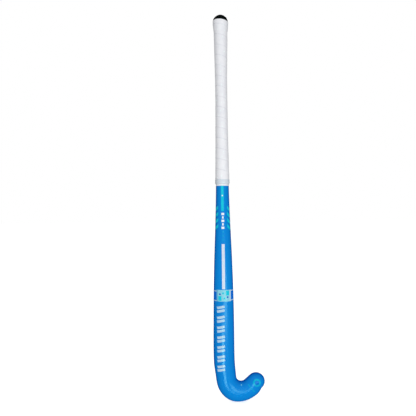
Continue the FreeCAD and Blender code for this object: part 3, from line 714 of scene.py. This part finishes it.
def tape_piece(material):
    """The finishing tape: a little over one turn, stepping down from the wrap to the shaft."""
    drops = TAPE_TOP + TAPE_WIDTH * np.array((0, 0.03, 0.15, 0.3, 0.45, 0.6, 0.7, 0.76, 0.82, 0.88, 0.94, 1))
    bed = np.interp(
        drops - TAPE_TOP, (0, 7.6, 8.4, 9.2, 10.0, TAPE_WIDTH), (1.6, 1.6, 1.45, 0.8, 0.2, 0.06)
    )
    rows = []
    steps = int(TAPE_TURNS * RING)
    for step in range(steps + 1):
        column = (TAPE_START - step) % RING
        second = smooth_step((step - RING + 3) / 3) * TAPE_LAYER
        crease = 0.05 * np.sin(drops * 1.9 + 0.31 * step) * np.sin(0.17 * step)
        rows.append(np.concatenate((
            on_handle(column, drops, bed + second + TAPE_LAYER + crease),
            on_handle(column, drops, bed + second + 0.02 + crease)[::-1],
        )))
    faces = wound_faces(len(rows), 2 * len(drops))
    new_piece("end_tape", np.concatenate(rows), faces, material, "finishing_tape")


def base_ring_piece(material):
    """The white ring printed round the shaft below the tape."""
    section = ((0, FILM_ROOT), (0, 0.1), (0.3, 0.18), (RING_WIDTH - 0.3, 0.18), (RING_WIDTH, 0.1),
               (RING_WIDTH, FILM_ROOT))
    rings = [
        np.array([on_handle(k, TAPE_FOOT + drop, outward) for k in range(RING)])
        for drop, outward in section
    ]
    closed_bands("shaft_ring", [rings], material, "base_ring")


# ---------------------------------------------------------------------------- materials


def srgb(red, green, blue):
    """A colour given as screen values from 0 to 255, in the renderer's linear form."""
    values = [v / 255 for v in (red, green, blue)]
    return (*[v / 12.92 if v <= 0.04045 else ((v + 0.055) / 1.055) ** 2.4 for v in values], 1)


class Look:
    """A procedural material on one Principled shader, with short calls for its nodes."""

    def __init__(self, name, **sockets):
        self.material = bpy.data.materials.new(name)
        self.material.use_nodes = True
        self.tree = self.material.node_tree
        self.shader = self.tree.nodes["Principled BSDF"]
        for label, value in sockets.items():
            self.shader.inputs[label.replace("_", " ")].default_value = value
        self.place = self.tree.nodes.new("ShaderNodeTexCoord").outputs["Object"]

    def node(self, kind, inputs, **settings):
        node = self.tree.nodes.new("ShaderNode" + kind)
        for label, value in settings.items():
            setattr(node, label, value)
        for label, value in inputs.items():
            socket = node.inputs[label]
            if isinstance(value, bpy.types.NodeSocket):
                self.tree.links.new(value, socket)
            else:
                socket.default_value = value
        return node

    def scaled(self, scale):
        return self.node("Mapping", {"Vector": self.place, "Scale": scale}).outputs["Vector"]

    def noise(self, scale, detail=3, stretch=(1, 1, 1)):
        inputs = {"Vector": self.scaled(stretch), "Scale": scale, "Detail": detail}
        return self.node("TexNoise", inputs).outputs["Fac"]

    def cells(self, scale, feature="F1", stretch=(1, 1, 1)):
        inputs = {"Vector": self.scaled(stretch), "Scale": scale}
        return self.node("TexVoronoi", inputs, feature=feature).outputs["Distance"]

    def attribute(self, name):
        return self.node("Attribute", {}, attribute_name=name).outputs["Fac"]

    def math(self, operation, first, second=0.0):
        return self.node("Math", {0: first, 1: second}, operation=operation).outputs["Value"]

    def span(self, value, low, high, to_low=0.0, to_high=1.0):
        inputs = {"Value": value, "From Min": low, "From Max": high, "To Min": to_low, "To Max": to_high}
        return self.node("MapRange", inputs).outputs["Result"]

    def mix(self, factor, first, second, blend="MIX"):
        node = self.node("Mix", {0: factor, 6: first, 7: second}, data_type="RGBA", blend_type=blend)
        return node.outputs[2]

    def ramp(self, factor, *stops):
        node = self.node("ValToRGB", {"Fac": factor})
        while len(node.color_ramp.elements) < len(stops):
            node.color_ramp.elements.new(0.5)
        for element, (at, colour) in zip(node.color_ramp.elements, stops):
            element.position = at
            element.color = colour
        return node.outputs["Color"]

    def bump(self, height, strength, distance, below=None):
        inputs = {"Height": height, "Strength": strength, "Distance": distance}
        if below is not None:
            inputs["Normal"] = below
        return self.node("Bump", inputs).outputs["Normal"]

    def set(self, **links):
        for label, socket in links.items():
            self.tree.links.new(socket, self.shader.inputs[label.replace("_", " ")])
        return self.material


def scratches(look, scale=900.0):
    """Thin, sparse, mostly lengthwise marks, from 0 to 1."""
    lines = look.noise(scale, 2, (1, 1, 0.03))
    patches = look.noise(45.0, 2)
    thin = look.span(lines, 0.68, 0.72)
    return look.math("MULTIPLY", thin, look.span(patches, 0.52, 0.64))


def blue_paint():
    """Clear-coated blue paint with painted shade, darker blue towards the edges of the back and on the face,
    and fine wear along the stick.
    """
    look = Look("blue_paint", Coat_Weight=0.5, Coat_Roughness=0.17, Specular_IOR_Level=0.03)
    backward = look.attribute("backward")
    # Painted shade: the base colour darkens from the middle of the back towards its sides and the face.
    painted_edge_shade = look.ramp(
        look.span(backward, 0.0, 1.0),
        (0.0, srgb(0, 76, 182)), (0.3, srgb(0, 84, 188)), (0.5, srgb(0, 106, 200)), (0.7, srgb(0, 122, 208)),
        (1.0, srgb(0, 134, 216)),
    )
    cloud = look.noise(14.0, 4, (1, 1, 0.35))
    colour = look.mix(look.span(cloud, 0.3, 0.7, 0.0, 0.35), painted_edge_shade, srgb(0, 122, 208))
    marks = scratches(look)
    colour = look.mix(look.math("MULTIPLY", marks, 0.25), colour, srgb(20, 150, 222))
    fleck = look.span(look.noise(5200.0, 1), 0.72, 0.8, 0.0, 0.10)
    colour = look.mix(fleck, colour, srgb(10, 156, 228))
    smear = look.span(look.noise(60.0, 5), 0.3, 0.75, 0.30, 0.42)
    rough = look.math("ADD", smear, look.math("MULTIPLY", marks, 0.15))
    peel = look.bump(look.noise(420.0, 2), 0.10, 0.0002)
    normal = look.bump(marks, 0.2, 0.00004, peel)
    return look.set(Base_Color=colour, Roughness=rough, Normal=normal)


def print_film(name, main, second, speckle=0.5):
    """Printed film: a fine halftone of two tones, slightly raised ink and worn specks."""
    look = Look(name, Coat_Weight=0.35, Coat_Roughness=0.2, Specular_IOR_Level=0.05)
    dots = look.span(look.cells(1500.0), 0.2, 0.45)
    cloud = look.noise(120.0, 4)
    share = look.math("MULTIPLY", look.span(cloud, 0.35, 0.7), speckle)
    colour = look.mix(look.math("MULTIPLY", dots, share), main, second)
    worn = look.span(look.noise(700.0, 4), 0.74, 0.8)
    colour = look.mix(look.math("MULTIPLY", worn, 0.4), colour, second)
    rough = look.span(look.noise(300.0, 3), 0.3, 0.7, 0.34, 0.5)
    normal = look.bump(dots, 0.15, 0.00003)
    return look.set(Base_Color=colour, Roughness=rough, Normal=normal)


def white_wrap():
    """Soft cushioned strip: a leather-like grain, fine pores, and a darker, greyer tone near its edges."""
    look = Look("white_wrap", Sheen_Weight=0.15, Sheen_Roughness=0.5, Specular_IOR_Level=0.3)
    across = look.attribute("across")
    from_middle = look.math("ABSOLUTE", look.math("SUBTRACT", across, 0.5))
    edge = look.span(from_middle, 0.42, 0.5)
    cloud = look.noise(70.0, 5)
    clean = look.mix(look.span(cloud, 0.35, 0.7), srgb(238, 239, 243), srgb(230, 232, 238))
    # Darker and greyer near both edges of the strip, in uneven patches.
    edge_darkening = look.math("MULTIPLY", edge, look.span(look.noise(160.0, 4), 0.3, 0.7, 0.2, 0.75))
    colour = look.mix(edge_darkening, clean, srgb(196, 198, 208))
    pores = look.cells(900.0)
    pore_spots = look.span(pores, 0.05, 0.22)
    colour = look.mix(look.span(pore_spots, 0, 1, 0.16, 0.0), colour, srgb(206, 208, 218))
    grain = look.noise(1400.0, 4)
    normal = look.bump(pore_spots, 0.35, 0.0002)
    normal = look.bump(grain, 0.35, 0.0002, normal)
    normal = look.bump(look.noise(110.0, 3), 0.2, 0.0008, normal)
    rough = look.span(look.noise(240.0, 4), 0.3, 0.7, 0.55, 0.72)
    return look.set(Base_Color=colour, Roughness=rough, Normal=normal)


def grey_tape():
    """Stretched plastic tape: fine lines along its pull, slightly glossy."""
    look = Look("grey_tape", Specular_IOR_Level=0.45, Coat_Weight=0.2, Coat_Roughness=0.2)
    lines = look.noise(900.0, 3, (0.15, 0.15, 1))
    colour = look.mix(look.span(lines, 0.35, 0.65), srgb(206, 218, 228), srgb(218, 226, 234))
    specks = look.span(look.noise(1300.0, 4), 0.66, 0.74, 0.0, 0.4)
    colour = look.mix(specks, colour, srgb(176, 190, 204))
    rough = look.span(look.noise(400.0, 3), 0.3, 0.7, 0.3, 0.45)
    normal = look.bump(lines, 0.3, 0.0001)
    return look.set(Base_Color=colour, Roughness=rough, Normal=normal)


def cap_rubber():
    """Black moulded rubber: fine sparked texture, dusty specks and rubbed patches."""
    look = Look("cap_rubber", Specular_IOR_Level=0.4)
    dust = look.span(look.noise(520.0, 5), 0.6, 0.75, 0.0, 0.35)
    colour = look.mix(dust, srgb(9, 9, 12), srgb(38, 38, 42))
    rubbed = look.noise(90.0, 3)
    rough = look.span(rubbed, 0.35, 0.7, 0.45, 0.62)
    normal = look.bump(look.noise(2200.0, 3), 0.4, 0.00008)
    return look.set(Base_Color=colour, Roughness=rough, Normal=normal)


def woven(name, warp, weft, resin_gloss):
    """Cloth set in resin: tows crossing over and under, each with its own fibres."""
    look = Look(name, Coat_Weight=resin_gloss, Coat_Roughness=0.12)
    over = look.node("TexWave", {"Vector": look.place, "Scale": 120.0, "Distortion": 0.3},
                     bands_direction="DIAGONAL").outputs["Fac"]
    under = look.node("TexChecker", {"Vector": look.place, "Scale": 420.0}).outputs["Fac"]
    share = look.math("MULTIPLY", look.span(over, 0.4, 0.6), under)
    fibre = look.noise(3000.0, 2, (1, 1, 0.05))
    colour = look.mix(share, warp, weft)
    colour = look.mix(look.span(fibre, 0.3, 0.7, 0.0, 0.3), colour, weft)
    rough = look.span(fibre, 0.3, 0.7, 0.3, 0.45)
    normal = look.bump(share, 0.3, 0.0001)
    return look.set(Base_Color=colour, Roughness=rough, Normal=normal)


def foam():
    """Pale closed-cell foam."""
    look = Look("core_foam", Specular_IOR_Level=0.2)
    cells = look.cells(1200.0)
    colour = look.ramp(look.span(cells, 0.0, 0.6), (0.0, srgb(176, 158, 112)), (1.0, srgb(232, 218, 176)))
    stain = look.span(look.noise(60.0, 4), 0.4, 0.7, 0.0, 0.3)
    colour = look.mix(stain, colour, srgb(198, 176, 120))
    rough = look.span(look.noise(300.0, 3), 0.3, 0.7, 0.78, 0.92)
    return look.set(Base_Color=colour, Roughness=rough, Normal=look.bump(cells, 0.5, 0.0003))


CYAN = srgb(0, 192, 218)
PALE = srgb(178, 208, 230)
BLUE_PRINT = srgb(0, 84, 190)
WHITE_PRINT = srgb(238, 241, 246)

# ---------------------------------------------------------------------------- pieces

shell_piece(blue_paint())
cap_piece(cap_rubber())
wrap_piece(white_wrap())
tape_piece(grey_tape())
WHITE_FILM = print_film("white_film", WHITE_PRINT, srgb(220, 226, 236), 0.3)
CYAN_FILM = print_film("cyan_film", CYAN, srgb(40, 200, 218), 0.5)
PALE_FILM = print_film("pale_film", PALE, srgb(150, 192, 222), 0.7)
BLUE_FILM = print_film("blue_film", BLUE_PRINT, srgb(0, 96, 208), 0.5)
PANEL_FILM = print_film("panel_film", srgb(138, 206, 224), srgb(112, 196, 218), 0.6)
CYAN_PALE_FILM = print_film("cyan_pale_film", srgb(105, 180, 210), srgb(90, 168, 206), 0.6)
FIELD_FILM = print_film("field_film", srgb(0, 112, 218), srgb(0, 96, 206), 0.6)
RING_FILM = print_film("ring_film", srgb(0, 176, 212), srgb(0, 150, 208), 0.8)
CENTRE_FILM = print_film("centre_film", srgb(0, 108, 204), srgb(0, 150, 208), 0.4)
LINE_FILM = print_film("line_film", srgb(0, 166, 208), srgb(0, 150, 206), 0.5)
# The light-blue film of the painted highlight dot near the crook.
PAINTED_HIGHLIGHT_FILM = print_film("painted_highlight_film", srgb(90, 180, 228), srgb(60, 160, 222), 0.4)
BAR_FILM = print_film("bar_film", srgb(216, 220, 235), srgb(188, 212, 232), 0.8)
FAINT_FILM = print_film("faint_film", srgb(0, 150, 214), srgb(0, 140, 212), 0.5)
base_ring_piece(WHITE_FILM)



def stripe_and_marks():
    """The stripe with its spot, then tabs, dashes and the long bar down the middle of the back."""
    x, top, foot, width = -0.9, 518.0, 459.1, 6.1
    spot = disc(x, 494.6, 1.6)
    outline = bar(x, (top + foot) / 2, width, top - foot)
    transfer("centre_stripe", [outline + spot], CYAN_FILM)
    transfer("stripe_spot", [spot], WHITE_FILM)
    tabs = [bar(-0.3, 456.0 - 7.95 * (n + 0.5), 3.6 if n % 2 else 6.5, 5.25) for n in range(5)]
    transfer("title_tabs", tabs, WHITE_FILM)
    dashes = [bar(0, 415.3 - 9.0 * (n + 0.5), 4.0, 5.4) for n in range(3)]
    transfer("centre_dashes", dashes, FAINT_FILM)
    top, foot = 382.7, 278.0
    transfer("centre_bar", [bar(-0.2, (top + foot) / 2, 6.8, top - foot)], BAR_FILM)


def chevrons():
    """Four slanted bars on each side, running off the edge of the back."""
    pitch, tall = 14.03, 7.3
    for side, start, top, reach, fall in (("left", -10.8, 467.0, -9, 45), ("right", 9.7, 467.3, 9, 50)):
        bars = [slant(start, top - pitch * n, reach, tall, fall) for n in range(4)]
        transfer(f"{side}_chevrons", bars, CYAN_FILM, to_side=True)


def belt():
    """Two lines round the shaft, the dark field between them, and the panel on the back."""
    half = BELT_LINE / 2
    bands = [belt_band(at + half, at - half, FILM) for at in (BELT_TOP, BELT_FOOT)]
    closed_bands("belt_lines_print", bands, PALE_FILM, "belt_lines")
    field = belt_band(BELT_TOP - half, BELT_FOOT + half, FIELD_FILM_HEIGHT)
    closed_bands("belt_field_print", [field], FIELD_FILM, "belt_field")
    top, foot, edge, side = 276.0, 249.0, 13.3, 16.4
    middle, tall = (top + foot) / 2, top - foot
    panel = [("middle", 0, 2 * edge, PANEL_FILM)]
    panel += [("left", -(edge + side) / 2, side - edge, CYAN_PALE_FILM)]
    panel += [("right", (edge + side) / 2, side - edge, PALE_FILM)]
    for name, x, width, film in panel:
        transfer("belt_panel", [bar(x, middle, width, tall)], film, lift=PANEL_LIFT, suffix=name)
    blocks, spots = [], []
    for turn in (1, -1):
        blocks.append(bar(turn * 8.9, middle + turn * 6.2, 7.2, 11.0))
        blocks.append(bar(-turn * 1.6, middle + turn * 6.0, 4.0, 4.0))
        spots.append(disc(-turn * 8.9, middle + turn * 3.6, 2.1))
    transfer("belt_blocks", blocks, CYAN_FILM, lift=INLAY_LIFT)
    transfer("belt_spots", spots, BLUE_FILM, lift=INLAY_LIFT)


def head_marks():
    """Seven pairs of slanted bars down the blade, the marks on the toe, and a painted highlight: a light-blue
    dot near the crook.
    """
    bars = []
    for n in range(7):
        for side in (1, -1):
            bars.append(bar(-7.2, 230.9 - 23.7 * n + side * 4.35, 18.0, 5.8, -14))
    transfer("blade_bars", bars, PALE_FILM)
    transfer("toe_line", [bar(63.5, 38.8, 24.2, 1.8, 50.4)], LINE_FILM)
    middle, radius, hole = (76.8, 52.0), 9.4, 5.4
    transfer("toe_ring", [disc(*middle, radius, 48) + disc(*middle, hole, 36)], RING_FILM)
    transfer("toe_ring_centre", [disc(*middle, hole, 36)], CENTRE_FILM)
    # Painted highlight: a small light-blue dot low on the back near the crook, standing in for a lamp's
    # reflection.
    transfer("toe_spot", [disc(40.3, 45.2, 1.6)], PAINTED_HIGHLIGHT_FILM)


stripe_and_marks()
chevrons()
belt()
head_marks()

INNER = {
    "left_core_tube": woven("left_tube_weave", srgb(26, 27, 30), srgb(54, 56, 62), 0.3),
    "right_core_tube": woven("right_tube_weave", srgb(26, 27, 30), srgb(54, 56, 62), 0.3),
    "heel_reinforcement": woven("aramid_weave", srgb(196, 158, 58), srgb(226, 194, 96), 0.2),
    "head_core": foam(),
    "handle_plug": foam(),
}
for node, look in INNER.items():
    for slot in frame["nodes"][node].material_slots:
        slot.material = look

# ---------------------------------------------------------------------------- studio

CAMERA_AT = Vector((-0.0344, -1.1, -0.3503))
CAMERA_ROLL = math.radians(0.63)
LENS = 40.09
FLOOR_HALF = 14.0


def studio_camera():
    """A level camera in front of the stick's back, rolled a little."""
    data = bpy.data.cameras.new("camera")
    data.lens = LENS
    camera = bpy.data.objects.new("camera", data)
    camera.location = CAMERA_AT
    camera.rotation_euler = (math.radians(90), CAMERA_ROLL, 0)
    bpy.context.scene.collection.objects.link(camera)
    bpy.context.scene.camera = camera


def studio_floor():
    """A white floor that only the camera sees."""
    mesh = bpy.data.meshes.new("floor")
    corners = [(x * FLOOR_HALF, y * FLOOR_HALF, cad_box[0][2]) for x, y in ((-1, -1), (1, -1), (1, 1), (-1, 1))]
    mesh.from_pydata(corners, [], [(0, 1, 2, 3)])
    look = Look("floor", Base_Color=(0.9, 0.9, 0.9, 1), Roughness=0.9, Specular_IOR_Level=0.1,
                Emission_Color=(1, 1, 1, 1), Emission_Strength=0.7)
    mesh.materials.append(look.material)
    floor = bpy.data.objects.new("floor", mesh)
    bpy.context.scene.collection.objects.link(floor)
    floor.visible_glossy = False
    floor.visible_diffuse = False
    floor.visible_shadow = False


def soft_light(name, at, target, size, power):
    """An area light that shades the object but isn't mirrored in it."""
    data = bpy.data.lights.new(name, "AREA")
    data.shape = "RECTANGLE"
    data.size, data.size_y = size
    data.energy = power
    light = bpy.data.objects.new(name, data)
    light.location = at
    light.rotation_euler = (Vector(target) - Vector(at)).to_track_quat("-Z", "Y").to_euler()
    light.visible_glossy = False
    bpy.context.scene.collection.objects.link(light)


def studio_world():
    """White all round for the camera, dim grey for all else, and soft blue-green patches seen in gloss."""
    world = bpy.data.worlds.new("studio")
    bpy.context.scene.world = world
    world.use_nodes = True
    tree = world.node_tree
    background = tree.nodes["Background"]
    path = tree.nodes.new("ShaderNodeLightPath")
    direction = tree.nodes.new("ShaderNodeTexCoord").outputs["Generated"]

    def toward(azimuth, elevation):
        a, e = math.radians(azimuth), math.radians(elevation)
        return (math.sin(a) * math.cos(e), -math.cos(a) * math.cos(e), math.sin(e))

    def patch(azimuth, elevation, inner, outer, strength):
        dot = tree.nodes.new("ShaderNodeVectorMath")
        dot.operation = "DOT_PRODUCT"
        tree.links.new(direction, dot.inputs[0])
        dot.inputs[1].default_value = toward(azimuth, elevation)
        span = tree.nodes.new("ShaderNodeMapRange")
        span.interpolation_type = "SMOOTHSTEP"
        tree.links.new(dot.outputs["Value"], span.inputs["Value"])
        span.inputs["From Min"].default_value = math.cos(math.radians(outer))
        span.inputs["From Max"].default_value = math.cos(math.radians(inner))
        span.inputs["To Max"].default_value = strength
        return span.outputs["Result"]

    def combine(operation, first, second):
        node = tree.nodes.new("ShaderNodeMath")
        node.operation = operation
        for socket, value in zip(node.inputs, (first, second)):
            if isinstance(value, bpy.types.NodeSocket):
                tree.links.new(value, socket)
            else:
                socket.default_value = value
        return node.outputs["Value"]

    glow = 0.02
    for azimuth, elevation, strength in ((22, -16, 6.5), (9, -17, 6.0), (-6, -29, 12.0)):
        glow = combine("ADD", patch(azimuth, elevation, 2, 11, strength), glow)
    reflected = combine("MULTIPLY", path.outputs["Is Glossy Ray"], glow)
    not_glossy = combine("SUBTRACT", 1.0, path.outputs["Is Glossy Ray"])
    around = combine("ADD", patch(0, 0, 20, 110, 0.38), 0.34)
    ambient = combine("MULTIPLY", not_glossy, around)
    other = combine("ADD", reflected, ambient)
    seen = combine("MAXIMUM", other, path.outputs["Is Camera Ray"])
    tree.links.new(seen, background.inputs["Strength"])
    tint = tree.nodes.new("ShaderNodeMix")
    tint.data_type = "RGBA"
    tint.inputs[6].default_value = (1, 1, 1, 1)
    tint.inputs[7].default_value = (0.4, 1.0, 0.7, 1)
    tree.links.new(path.outputs["Is Glossy Ray"], tint.inputs[0])
    tree.links.new(tint.outputs[2], background.inputs["Color"])
    world.cycles.sampling_method = "NONE"


studio_camera()
studio_floor()
studio_world()
soft_light("key", (0.35, -2.3, -0.7), (0, 0, -0.45), (1.6, 2.0), 27)
soft_light("back", (-0.6, 2.4, 0.5), (0, 0, -0.4), (1.6, 2.0), 10)
bpy.context.scene.view_settings.view_transform = "Standard"
